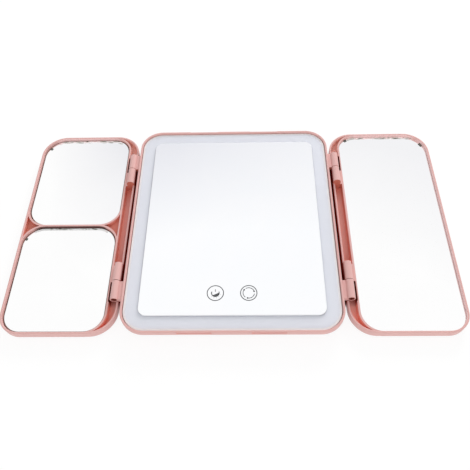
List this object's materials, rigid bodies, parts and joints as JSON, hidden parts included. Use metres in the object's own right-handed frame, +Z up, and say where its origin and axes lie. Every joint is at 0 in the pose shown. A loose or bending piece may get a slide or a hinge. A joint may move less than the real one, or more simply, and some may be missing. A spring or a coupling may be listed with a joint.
{
  "type": "lighted folding makeup mirror",
  "caption": "Rose plastic folding makeup mirror lying open, with a light band round its centre mirror, touch marks and hinged side mirrors.",
  "frame": {"origin": "on the table under the middle of the opened mirror", "axes": "+Z up out of the mirror faces, X across the three panels, Y from the near edge to the far edge"},
  "size_m": [0.337, 0.188, 0.0137],
  "materials": {
    "rose_plastic": "satin",
    "opal_plastic": "satin",
    "silvered_glass": "polished",
    "foam_tape": "matte",
    "grey_print": "matte",
    "white_film": "matte",
    "white_board": "satin",
    "led_phosphor": "gloss",
    "green_board": "satin",
    "black_chip": "matte",
    "conductive_foam": "matte",
    "battery_foil": "satin",
    "red_lead": "satin",
    "black_lead": "satin",
    "white_lead": "satin",
    "socket_steel": "satin",
    "clear_plastic": "gloss",
    "screw_steel": "satin",
    "pin_steel": "satin",
    "soft_rubber": "matte"
  },
  "bodies": {
    "centre": {"centre_frame": "rose_plastic", "back_cover": "rose_plastic", "light_diffuser": "opal_plastic", "centre_mirror": "silvered_glass", "centre_mirror_tape": "foam_tape", "power_mark": "grey_print", "colour_mark": "grey_print", "reflector_sheet": "white_film", "led_strip_left": "white_board", "led_strip_right": "white_board", "led_strip_near": "white_board", "led_strip_far": "white_board", "led_chips": "led_phosphor", "strip_links": "white_lead", "control_board": "green_board", "control_chips": "black_chip", "board_screws": "screw_steel", "touch_pads": "conductive_foam", "battery": "battery_foil", "battery_pad": "foam_tape", "battery_lead_red": "red_lead", "battery_lead_black": "black_lead", "charge_board": "green_board", "charge_socket": "socket_steel", "charge_light": "clear_plastic", "charge_lead": "black_lead", "led_lead": "white_lead", "cover_screws": "screw_steel", "rubber_feet": "soft_rubber", "left_near_pin": "pin_steel", "left_far_pin": "pin_steel", "right_near_pin": "pin_steel", "right_far_pin": "pin_steel"},
    "left_wing": {"left_tray": "rose_plastic", "left_upper_mirror": "silvered_glass", "left_upper_mirror_tape": "foam_tape", "left_lower_mirror": "silvered_glass", "left_lower_mirror_tape": "foam_tape"},
    "right_wing": {"right_tray": "rose_plastic", "right_mirror": "silvered_glass", "right_mirror_tape": "foam_tape"}
  },
  "joints": [
    {"name": "left_wing_fold", "type": "hinge", "parent": "centre", "child": "left_wing", "pos_m": [-0.086, 0, 0.0107], "axis": [0, 1, 0], "range_deg": [0, 180]},
    {"name": "right_wing_fold", "type": "hinge", "parent": "centre", "child": "right_wing", "pos_m": [0.086, 0, 0.0107], "axis": [0, -1, 0], "range_deg": [0, 180]}
  ]
}
